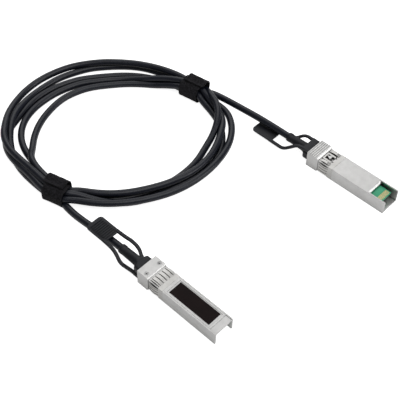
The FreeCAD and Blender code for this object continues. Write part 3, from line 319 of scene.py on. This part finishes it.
class Nodes:
    """A material's node tree with short calls for the nodes used here."""

    def __init__(self, name):
        self.material = bpy.data.materials.new(name)
        self.material.use_nodes = True
        self.tree = self.material.node_tree
        self.shader = self.tree.nodes["Principled BSDF"]
        self.coords = self.tree.nodes.new("ShaderNodeTexCoord").outputs["Object"]

    def add(self, kind, **inputs):
        node = self.tree.nodes.new(kind)
        for key, value in inputs.items():
            node.inputs[key].default_value = value
        return node

    def link(self, output, socket):
        self.tree.links.new(output, socket)

    def noise(self, scale, detail, roughness, stretch=EVEN):
        """Noise in object space, stretched per axis."""
        mapping = self.add("ShaderNodeMapping", Scale=stretch)
        self.link(self.coords, mapping.inputs["Vector"])
        node = self.add("ShaderNodeTexNoise", Scale=scale, Detail=detail, Roughness=roughness)
        self.link(mapping.outputs["Vector"], node.inputs["Vector"])
        return node.outputs["Fac"]

    def ramp(self, value, low, high, start=0.3, end=0.7):
        """Colour or grey ramp between two ends."""
        node = self.tree.nodes.new("ShaderNodeValToRGB")
        node.color_ramp.elements[0].position = start
        node.color_ramp.elements[1].position = end
        for element, colour in zip(node.color_ramp.elements, (low, high)):
            grey = (colour,) * 3 if isinstance(colour, float) else colour
            element.color = (*grey, 1)
        self.link(value, node.inputs["Fac"])
        return node.outputs["Color"]

    def bump(self, height, depth, strength=1.0, below=None):
        """Relief of a depth, over the relief below it if there is one."""
        node = self.add("ShaderNodeBump", Strength=strength, Distance=depth * MM)
        self.link(height, node.inputs["Height"])
        if below is not None:
            self.link(below, node.inputs["Normal"])
        return node.outputs["Normal"]

    def shade_crevices(self, colour, reach, darkest, start, end):
        """The colour with painted shade: darker in crevices narrower than the reach, by their
        occlusion.
        """
        open_share = self.add("ShaderNodeAmbientOcclusion", Distance=reach * MM)
        open_share.samples = OCCLUSION_SAMPLES
        mix = self.tree.nodes.new("ShaderNodeMix")
        mix.data_type = "RGBA"
        mix.blend_type = "MULTIPLY"
        mix.inputs[MIX_SHARE].default_value = 1.0
        self.link(colour, mix.inputs[MIX_FIRST])
        self.link(self.ramp(open_share.outputs["AO"], darkest, 1.0, start, end), mix.inputs[MIX_SECOND])
        return mix.outputs[MIX_RESULT]

    def paint(self, colour):
        self.link(colour, self.shader.inputs["Base Color"])

    def finish(self, roughness, normal):
        self.link(roughness, self.shader.inputs["Roughness"])
        self.link(normal, self.shader.inputs["Normal"])


def metal(name, low, high, smoothest, roughest, grain, depth, stretch):
    """Satin or brushed metal: fine grain in its roughness and relief, faint patches in its colour."""
    n = Nodes(name)
    patches = n.ramp(n.noise(*METAL_PATCHES), low, high)
    # Painted shade: the colour darkens in hollows and seams, by their occlusion.
    n.paint(n.shade_crevices(n.shade_crevices(patches, *METAL_HOLLOW_SHADE), *METAL_SEAM_SHADE))
    fine = n.noise(grain, *METAL_GRAIN, stretch)
    edge = n.add("ShaderNodeBevel", Radius=METAL_EDGE * MM)
    edge.samples = BEVEL_SAMPLES
    n.finish(n.ramp(fine, smoothest, roughest), n.bump(fine, depth, below=edge.outputs["Normal"]))
    n.shader.inputs["Metallic"].default_value = 1.0
    return n.material


def plastic(name, low, high, smoothest, roughest, grain, depth):
    """Moulded plastic or rubber: a fine moulded grain and slightly uneven gloss."""
    n = Nodes(name)
    patches = n.ramp(n.noise(*PLASTIC_PATCHES), low, high)
    # Painted shade: the colour darkens in seams and between strands, by their occlusion.
    n.paint(n.shade_crevices(patches, *PLASTIC_SEAM_SHADE))
    fine = n.noise(grain, *PLASTIC_GRAIN)
    n.finish(n.ramp(fine, smoothest, roughest), n.bump(fine, depth))
    return n.material


def hook_and_loop(name):
    """Black hook-and-loop tape: fuzzy clumps of fine pile."""
    n = Nodes(name)
    clumps = n.noise(*FABRIC_CLUMPS)
    # Painted shade: the clumps' colour darkens in seams, by their occlusion.
    n.paint(n.shade_crevices(n.ramp(clumps, PILE_DARK, PILE_LIGHT, *PILE_RANGE), *FABRIC_SEAM_SHADE))
    pile = n.noise(*FABRIC_PILE)
    coarse = n.bump(clumps, CLUMP_DEPTH)
    n.finish(n.ramp(pile, *PILE_ROUGHNESS), n.bump(pile, PILE_DEPTH, PILE_STRENGTH, coarse))
    n.shader.inputs["Specular IOR Level"].default_value = PILE_GLOSS
    n.shader.inputs["Sheen Weight"].default_value = PILE_SHEEN
    n.shader.inputs["Sheen Roughness"].default_value = PILE_SHEEN_ROUGHNESS
    return n.material


def make_materials():
    """Every finish, by the name of its slot in the record."""
    made = {slot: metal(slot, *look) for slot, look in METALS.items()}
    made.update({slot: plastic(slot, *look) for slot, look in PLASTICS.items()})
    label = made["label_brown"].node_tree.nodes["Principled BSDF"]
    label.inputs["Specular IOR Level"].default_value = LABEL_GLOSS
    made["strap_black"] = hook_and_loop("strap_black")
    return made


MATERIALS = make_materials()


def dress_nodes():
    """Give every CAD node its finish."""
    for part in frame["record"]["subparts"]:
        node = NODES[part["node"]]
        node.data.materials.clear()
        node.data.materials.append(MATERIALS[part["material_slot"]])


def finish_mesh(name, mesh, slot, bevel=0.0, matrix=None):
    """Make an object of a bmesh in one of the record's finishes, smooth, with softened edges."""
    bmesh.ops.recalc_face_normals(mesh, faces=mesh.faces)
    data = bpy.data.meshes.new(name)
    mesh.to_mesh(data)
    mesh.free()
    if matrix is not None:
        data.transform(matrix)
    for face in data.polygons:
        face.use_smooth = True
    obj = add_object(name, data)
    data.materials.append(MATERIALS[slot])
    if bevel:
        modifier = obj.modifiers.new("edges", "BEVEL")
        modifier.width = bevel * MM
        modifier.segments = BEVEL_SEGMENTS
        modifier.limit_method = "ANGLE"
        modifier.angle_limit = math.radians(SHARP_EDGE)
    return obj


# ---------------------------------------------------------------- straps

STRAP_THICK = 0.9
# The bundle's outline with the first layer on it: width, height and the corners' radius.
STRAP_WIDE, STRAP_HIGH, STRAP_ROUND = 13.2, 11.5, 4.2
ROUND_STEPS = 12
TAPE_ROWS, TAPE_COLUMNS = 110, 18
# Places along the outline that are tried for the tape's start.
START_STEPS = 400
TAPE_BEVEL = 0.25
# No point of a tape comes lower than this.
LOWEST = 0.02

# The tail's middle surface: how many thicknesses it lies over the layer below and the length in
# which it climbs there, where before the overlap it stands off and over what length, and how far
# and over what length its end lifts.
TAIL_STACK, TAIL_CLIMB = 1.12, 4.5
STAND_OFF_PLACE, STAND_OFF_LENGTH = 1.5, 3.2
TIP_LIFT, TIP_LENGTH = 0.3, 2.0
# The share of a round after which the tape starts to slide along the bundle.
SLIDE_START = 0.45
# Height of the tape's waves, their number to the millimetre across and along it, and the lift of
# its long edges, which grows with this power of the distance from its middle.
WAVE_HEIGHT, WAVE_ACROSS, WAVE_ALONG = 0.22, 0.25, 0.22
EDGE_LIFT, EDGE_POWER = 0.12, 4

# How each tape is wound: the side by which it leaves the top, how far from the middle it starts,
# how far its tail overlaps that start and has slid along the bundle, how far the tail stands off
# where it comes over the top, and the seed of its waves.
WINDINGS = {
    "strap_1": {"sense": 1, "start": 3.4, "overlap": 5.0, "shift": -2.0, "lift": 0.9, "seed": 3.0},
    "strap_2": {"sense": -1, "start": 3.4, "overlap": 5.6, "shift": -1.6, "lift": 0.7, "seed": 9.0},
}


def strap_outline():
    """Middle surface of a strap's first layer, seen along the bundle, with its outward directions."""
    half = STRAP_THICK / 2
    radius = STRAP_ROUND - half
    side = STRAP_WIDE / 2 - half - radius
    top = STRAP_HIGH - half - radius
    bottom = half + radius
    return rounded_outline([(side, top, radius), (-side, top, radius), (-side, bottom, radius),
                            (side, bottom, radius)], ROUND_STEPS)


def sides(outline):
    """The closed outline's sides, each from one point to the next."""
    return list(zip(outline, outline[1:] + outline[:1]))


def girth(outline):
    return sum(math.dist(a[:2], b[:2]) for a, b in sides(outline))


def walk(outline, distance):
    """The point at a distance along the closed outline, with its outward direction."""
    place = distance % girth(outline)
    for a, b in sides(outline):
        step = math.dist(a[:2], b[:2])
        if place <= step:
            share = place / step if step else 0.0
            return [p * (1 - share) + q * share for p, q in zip(a, b)]
        place -= step
    return outline[0]


def tape_rise(distance, around, total, lift):
    """How far the tape's middle surface stands off the first layer's, at a distance along it."""
    rise = STRAP_THICK * TAIL_STACK * smooth((distance - around + TAIL_CLIMB) / TAIL_CLIMB)
    rise += lift * math.exp(-((distance - around + STAND_OFF_PLACE) / STAND_OFF_LENGTH) ** 2)
    rise += TIP_LIFT * smooth((distance - total + TIP_LENGTH) / TIP_LENGTH)
    return rise


def close_tape(mesh, upper, lower):
    """Faces over a tape's two grids of points and round their edges."""
    rows, columns = len(upper) - 1, len(upper[0]) - 1
    for row in range(rows):
        after = row + 1
        for column in range(columns):
            beside = column + 1
            mesh.faces.new((upper[row][column], upper[row][beside], upper[after][beside],
                            upper[after][column]))
            mesh.faces.new((lower[row][column], lower[after][column], lower[after][beside],
                            lower[row][beside]))
        for column in (0, columns):
            mesh.faces.new((upper[row][column], upper[after][column], lower[after][column],
                            lower[row][column]))
    for row in (0, rows):
        for column in range(columns):
            mesh.faces.new((upper[row][column], lower[row][column], lower[row][column + 1],
                            upper[row][column + 1]))


def strap(name, sense, start, overlap, shift, lift, seed):
    """One length of hook-and-loop tape wound round the bundle, its tail lying on its own start."""
    centre, outward, along = strap_axes(name)
    outline = [(sense * u, z, sense * out_u, out_z) for u, z, out_u, out_z in strap_outline()]
    around = girth(outline)
    total = around + overlap

    def off_start(distance):
        u, z, _, _ = walk(outline, distance)
        return abs(u + sense * start) - z

    first = min((around * index / START_STEPS for index in range(START_STEPS)), key=off_start)
    mesh = bmesh.new()
    layers = ([], [])
    for row in range(TAPE_ROWS + 1):
        distance = total * row / TAPE_ROWS
        u, z, out_u, out_z = walk(outline, first - distance)
        rise = tape_rise(distance, around, total, lift)
        slide = shift * smooth((distance - SLIDE_START * around) / ((1 - SLIDE_START) * around))
        for layer, level in zip(layers, (0.5, -0.5)):
            line = []
            for column in range(TAPE_COLUMNS + 1):
                v = STRAP_LENGTH * (column / TAPE_COLUMNS - 0.5)
                place = Vector((v * WAVE_ACROSS, distance * WAVE_ALONG, seed))
                wave = WAVE_HEIGHT * noise.noise(place)
                curl = EDGE_LIFT * (2 * v / STRAP_LENGTH) ** EDGE_POWER
                off = rise + wave + curl + level * STRAP_THICK
                height = max(z + out_z * off, LOWEST)
                point = centre + outward * (u + out_u * off) * MM + along * (v + slide) * MM
                line.append(mesh.verts.new(point + mm(0, 0, height)))
            layer.append(line)
    close_tape(mesh, *layers)
    obj = finish_mesh(name + "_tape", mesh, "strap_black", bevel=TAPE_BEVEL)
    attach(obj, "cable")
    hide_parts(name)


# ---------------------------------------------------------------- plugs

# The plugs lie as their solids do. Each rests on its nose and on its head's front edge, this far
# behind the nose.
BODY_HEIGHT = 8.5
HEAD_EDGE = 48.5
PLUG_SIDE = 64.15
# The nose's x, and how far the head's front edge stands out from the side that the plug lies on.
PLUGS = {"a": (-43.3, 1.3), "b": (-53.8, 0.6)}

RING_POINTS = 48

# The boot from the shell to its rim: place along the plug, its middle's height, half its width and
# height, and the power that squares its section, 2 for an ellipse.
BOOT = [(55.52, 4.8, 5.0, 2.6, 7), (55.8, 4.8, 5.2, 2.8, 7), (59.4, 4.8, 5.2, 2.8, 6),
        (59.95, 4.8, 5.05, 2.7, 5), (60.25, 4.75, 4.6, 2.6, 4), (60.5, 4.65, 4.0, 2.6, 3.2),
        (61.1, 4.5, 3.4, 2.75, 2.6), (62.0, 4.3, 3.0, 2.85, 2.3), (63.2, 4.25, 2.82, 2.82, 2.1),
        (66.0, 4.25, 2.78, 2.78, 2), (69.0, 4.25, 2.72, 2.72, 2), (72.4, 4.25, 2.66, 2.66, 2),
        (72.7, 4.25, 2.8, 2.8, 2), (74.4, 4.25, 2.8, 2.8, 2), (74.85, 4.25, 2.62, 2.62, 2),
        (75.0, 4.25, 2.3, 2.3, 2)]

# How far each tab is bent sideways at its pad.
SWAY = {"a": 0.0, "b": -2.7}
TAB_BEVEL = 0.16
# Lowest and highest corner of the bar that joins the tab to the latch slide.
TAB_ROOT = ((55.85, -5.5, -0.8), (60.45, 5.5, 1.15))
# One arm's route: place along the plug and out from its middle, share of the sway, and height.
ARM = [(58.6, 4.55, 0, 0.175), (61.2, 4.6, 0, 0.25), (64.8, 5.2, 0, 0.8), (68.4, 7.0, 0.3, 3.4),
       (72.6, 5.9, 0.8, 7.0), (77.6, 4.9, 1.0, 7.55), (83.5, 4.8, 1.0, 7.55)]
ARM_STEPS = 8
# The arm's section: its corner rounds' centres and radius, and the steps in each round.
ARM_SIDE, ARM_UP, ARM_ROUND = 0.56, 0.3, 0.45
ARM_ROUND_STEPS = 4
PAD_START, PAD_END, PAD_HALF_WIDTH = 82.1, 97.1, 5.7
PAD_LOW, PAD_HIGH = 6.95, 8.0
PAD_NEAR_ROUND, PAD_FAR_ROUND = 0.8, 2.2
PAD_ROUND_STEPS = 6
RIB_COUNT, RIB_START, RIB_PITCH = 9, 83.65, 1.4
RIB_WIDTH, RIB_HALF_LENGTH = 0.7, 4.3
# A rib is two steps, each with its width, its foot and its top.
RIB_STEPS = ((RIB_WIDTH, 7.95, 8.36), (0.44, 8.3, 8.5))

SPRING_START, SPRING_END = 49.3, 54.5
SPRING_TURNS, SPRING_WIRE, SPRING_RADIUS = 5.5, 0.15, 0.75
SPRING_SIDE, SPRING_HEIGHT = 4.2, 0.55
# The share of the wire that lies flat at each end.
SPRING_FLAT = 0.09
SPRING_STEPS, SPRING_CORNERS = 176, 10


def plug_matrix(end):
    """From a plug's own millimetres, nose at 0 and label side up, to the scene's metres."""
    nose, stand = PLUGS[end]
    tilt = math.atan(stand / HEAD_EDGE)
    c, s = math.cos(tilt), math.sin(tilt)
    if end == "a":
        rows = ((c, 0, -s, nose), (0, 1, 0, PLUG_SIDE), (s, 0, c, 0), (0, 0, 0, 1))
    else:
        rows = ((c, 0, s, nose), (0, -1, 0, -PLUG_SIDE), (s, 0, -c, BODY_HEIGHT * c), (0, 0, 0, 1))
    return Matrix.Scale(MM, 4) @ Matrix(rows)


def ring_of(mesh, x, middle_z, half_width, half_height, power):
    """A ring of points on a rounded square section across the plug's length."""
    ring = []
    for step in range(RING_POINTS):
        angle = 2 * math.pi * step / RING_POINTS
        c, s = math.cos(angle), math.sin(angle)
        y = half_width * math.copysign(abs(c) ** (2 / power), c)
        z = middle_z + half_height * math.copysign(abs(s) ** (2 / power), s)
        ring.append(mesh.verts.new((x, y, z)))
    return ring


def join_rings(mesh, first, second):
    for index in range(len(first)):
        after = (index + 1) % len(first)
        mesh.faces.new((first[index], first[after], second[after], second[index]))


def loft(mesh, rings):
    """A closed skin through the rings, with flat ends."""
    for first, second in zip(rings, rings[1:]):
        join_rings(mesh, first, second)
    mesh.faces.new(rings[0])
    mesh.faces.new(rings[-1])


def block(mesh, low, high):
    """An upright box between its lowest and highest corners."""
    corners = [mesh.verts.new((x, y, z)) for x in (low[0], high[0]) for y in (low[1], high[1])
               for z in (low[2], high[2])]
    for a, b, c, d in ((0, 1, 3, 2), (4, 6, 7, 5), (0, 4, 5, 1), (2, 3, 7, 6), (0, 2, 6, 4),
                       (1, 5, 7, 3)):
        mesh.faces.new((corners[a], corners[b], corners[c], corners[d]))


def prism(mesh, outline, low, high):
    """An outline in the plug's plane, raised between two heights."""
    bottom = [mesh.verts.new((x, y, low)) for x, y in outline]
    top = [mesh.verts.new((x, y, high)) for x, y in outline]
    join_rings(mesh, bottom, top)
    mesh.faces.new(bottom)
    mesh.faces.new(top)


def boot(end):
    """Moulded strain relief: a rounded block against the shell that necks down to a sleeve."""
    mesh = bmesh.new()
    loft(mesh, [ring_of(mesh, *station) for station in BOOT])
    obj = finish_mesh("boot_" + end, mesh, "boot_black", matrix=plug_matrix(end))
    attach(obj, "cable")
    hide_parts("strain_boot_" + end)


def pad_outline(sway):
    """The tab's finger pad: rounded far corners, small ones towards the shell."""
    far_x, far_y = PAD_END - PAD_FAR_ROUND, PAD_HALF_WIDTH - PAD_FAR_ROUND
    near_x, near_y = PAD_START + PAD_NEAR_ROUND, PAD_HALF_WIDTH - PAD_NEAR_ROUND
    corners = [(far_x, far_y + sway, PAD_FAR_ROUND), (near_x, near_y + sway, PAD_NEAR_ROUND),
               (near_x, -near_y + sway, PAD_NEAR_ROUND), (far_x, -far_y + sway, PAD_FAR_ROUND)]
    return [(x, y) for x, y, _, _ in rounded_outline(corners, PAD_ROUND_STEPS)]


def arm_section():
    """Rounded flat section of the tab's arms, for a curve's bevel."""
    corners = [(ARM_SIDE, ARM_UP, ARM_ROUND), (-ARM_SIDE, ARM_UP, ARM_ROUND),
               (-ARM_SIDE, -ARM_UP, ARM_ROUND), (ARM_SIDE, -ARM_UP, ARM_ROUND)]
    points = rounded_outline(corners, ARM_ROUND_STEPS)
    data = bpy.data.curves.new("arm_section", "CURVE")
    data.dimensions = "2D"
    spline = data.splines.new("POLY")
    spline.points.add(len(points) - 1)
    for point, (x, y, _, _) in zip(spline.points, points):
        point.co = (*mm(x, y, 0), 1)
    spline.use_cyclic_u = True
    return add_object("arm_section", data)


def drop_curve(obj):
    data = obj.data
    bpy.data.objects.remove(obj)
    bpy.data.curves.remove(data)


def arms(mesh, sway):
    """Sweep both arms in the plug's own millimetres and add them to the tab's mesh."""
    section = arm_section()
    for hand in (1, -1):
        points = [mm(x, hand * y + share * sway, z) for x, y, share, z in ARM]
        arm = nurbs_curve("arm", points, ARM_STEPS)
        arm.data.bevel_mode = "OBJECT"
        arm.data.bevel_object = section
        arm.data.twist_mode = "Z_UP"
        evaluated = arm.evaluated_get(bpy.context.evaluated_depsgraph_get())
        swept = bpy.data.meshes.new_from_object(evaluated)
        swept.transform(Matrix.Scale(1 / MM, 4))
        mesh.from_mesh(swept)
        bpy.data.meshes.remove(swept)
        drop_curve(arm)
    drop_curve(section)


def ribs(mesh, sway):
    """Stepped ribs across the finger pad."""
    for rib in range(RIB_COUNT):
        x = RIB_START + RIB_PITCH * rib
        for width, low, high in RIB_STEPS:
            half, reach = width / 2, RIB_HALF_LENGTH - (RIB_WIDTH - width) / 2
            outline = [(x + half, sway + reach), (x - half, sway + reach), (x - half, sway - reach),
                       (x + half, sway - reach)]
            prism(mesh, outline, low, high)


def pull_tab(end):
    """Moulded pull tab: a root bar on the latch slide, two bowed arms and a ribbed finger pad."""
    sway = SWAY[end]
    mesh = bmesh.new()
    block(mesh, *TAB_ROOT)
    prism(mesh, pad_outline(sway), PAD_LOW, PAD_HIGH)
    ribs(mesh, sway)
    arms(mesh, sway)
    obj = finish_mesh("tab_" + end, mesh, "tab_black", bevel=TAB_BEVEL, matrix=plug_matrix(end))
    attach(obj, "release_" + end)
    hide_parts("pull_tab_" + end)


def spring_rings(mesh, hand):
    """Rings of points round one spring's wire, which lies flat at both ends."""
    length = SPRING_END - SPRING_START
    rings = []
    for step in range(SPRING_STEPS + 1):
        share = step / SPRING_STEPS
        level = min(max((share - SPRING_FLAT) / (1 - 2 * SPRING_FLAT), 0), 1)
        along = SPRING_START + SPRING_WIRE + level * (length - 2 * SPRING_WIRE)
        turn = 2 * math.pi * SPRING_TURNS * share
        ring = []
        for corner in range(SPRING_CORNERS):
            angle = 2 * math.pi * corner / SPRING_CORNERS
            radius = SPRING_RADIUS + SPRING_WIRE * math.cos(angle)
            ring.append(mesh.verts.new((along + SPRING_WIRE * math.sin(angle),
                                        hand * SPRING_SIDE + radius * math.cos(turn),
                                        SPRING_HEIGHT + radius * math.sin(turn))))
        rings.append(ring)
    return rings


def springs(end):
    """The slide's two return springs, round wire with closed ends."""
    mesh = bmesh.new()
    for hand in (1, -1):
        loft(mesh, spring_rings(mesh, hand))
    matrix = plug_matrix(end)
    obj = finish_mesh("springs_" + end, mesh, "collar_steel", matrix=matrix)
    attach(obj, "cable")
    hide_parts("return_springs_" + end)
    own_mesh(obj)


# ---------------------------------------------------------------- stage

# Places and sizes in metres and powers in watts: each lamp's place, the side of its square, and
# its power. All of them point at one place.
LAMPS = {
    "key": ((-0.25, 0.05, 0.75), 0.7, 2.4),
    "back": ((0.50, -0.45, 0.60), 0.85, 2.2),
    "edge": ((-0.55, -0.37, 0.33), 0.4, 1.2),
}
LAMPS_TARGET = (0.05, 0.0, 0.0)

# The world's strength for every ray but the camera's, which sees it white.
WORLD_LIGHT = 0.16

# The floor, in metres, lies just under the table's plane, so that nothing on it is cut. Its colour
# is plain, and it shines for the camera and, much less, for mirrored rays.
FLOOR_REACH = 3.0
FLOOR_LEVEL = -0.0002
FLOOR_COLOUR = (0.9, 0.9, 0.9, 1)
FLOOR_ROUGHNESS = 0.9
FLOOR_SEEN = 0.88
FLOOR_MIRRORED = 0.14
WHITE = (1, 1, 1, 1)


def ray_strength(tree, socket, base, rays):
    """Set a strength to its base plus a share for each kind of ray."""
    path = tree.nodes.new("ShaderNodeLightPath")
    previous = None
    for ray, share in rays:
        node = tree.nodes.new("ShaderNodeMath")
        node.operation = "MULTIPLY_ADD"
        node.inputs[1].default_value = share
        node.inputs[2].default_value = base
        tree.links.new(path.outputs[ray], node.inputs[0])
        if previous is not None:
            tree.links.new(previous, node.inputs[2])
        previous = node.outputs[0]
    tree.links.new(previous, socket)


def stage():
    """The floor, plain and pale."""
    data = bpy.data.meshes.new("floor")
    corners = [(x * FLOOR_REACH, y * FLOOR_REACH, FLOOR_LEVEL)
               for x, y in ((-1, -1), (1, -1), (1, 1), (-1, 1))]
    data.from_pydata(corners, [], [(0, 1, 2, 3)])
    floor = add_object("floor", data)
    material = bpy.data.materials.new("floor")
    material.use_nodes = True
    tree = material.node_tree
    shader = tree.nodes["Principled BSDF"]
    shader.inputs["Base Color"].default_value = FLOOR_COLOUR
    shader.inputs["Roughness"].default_value = FLOOR_ROUGHNESS
    shader.inputs["Specular IOR Level"].default_value = 0.0
    shader.inputs["Emission Color"].default_value = WHITE
    ray_strength(tree, shader.inputs["Emission Strength"], 0.0,
                 (("Is Glossy Ray", FLOOR_SEEN * FLOOR_MIRRORED), ("Is Camera Ray", FLOOR_SEEN)))
    data.materials.append(material)


def lights():
    """A white world and three broad lamps."""
    world = bpy.data.worlds.new("world")
    bpy.context.scene.world = world
    world.use_nodes = True
    background = world.node_tree.nodes["Background"]
    background.inputs["Color"].default_value = WHITE
    ray_strength(world.node_tree, background.inputs["Strength"], WORLD_LIGHT,
                 (("Is Camera Ray", 1 - WORLD_LIGHT),))
    for name, (place, size, power) in LAMPS.items():
        data = bpy.data.lights.new(name, "AREA")
        data.shape = "SQUARE"
        data.size = size
        data.energy = power
        obj = add_object(name, data)
        obj.location = place
        look_at(obj, LAMPS_TARGET)
    bpy.context.scene.view_settings.view_transform = "Standard"


# ---------------------------------------------------------------- the whole

camera()
cable()
dress_nodes()
for strap_name, winding in WINDINGS.items():
    strap(strap_name, **winding)
for plug_end in "ab":
    boot(plug_end)
    pull_tab(plug_end)
    springs(plug_end)
stage()
lights()
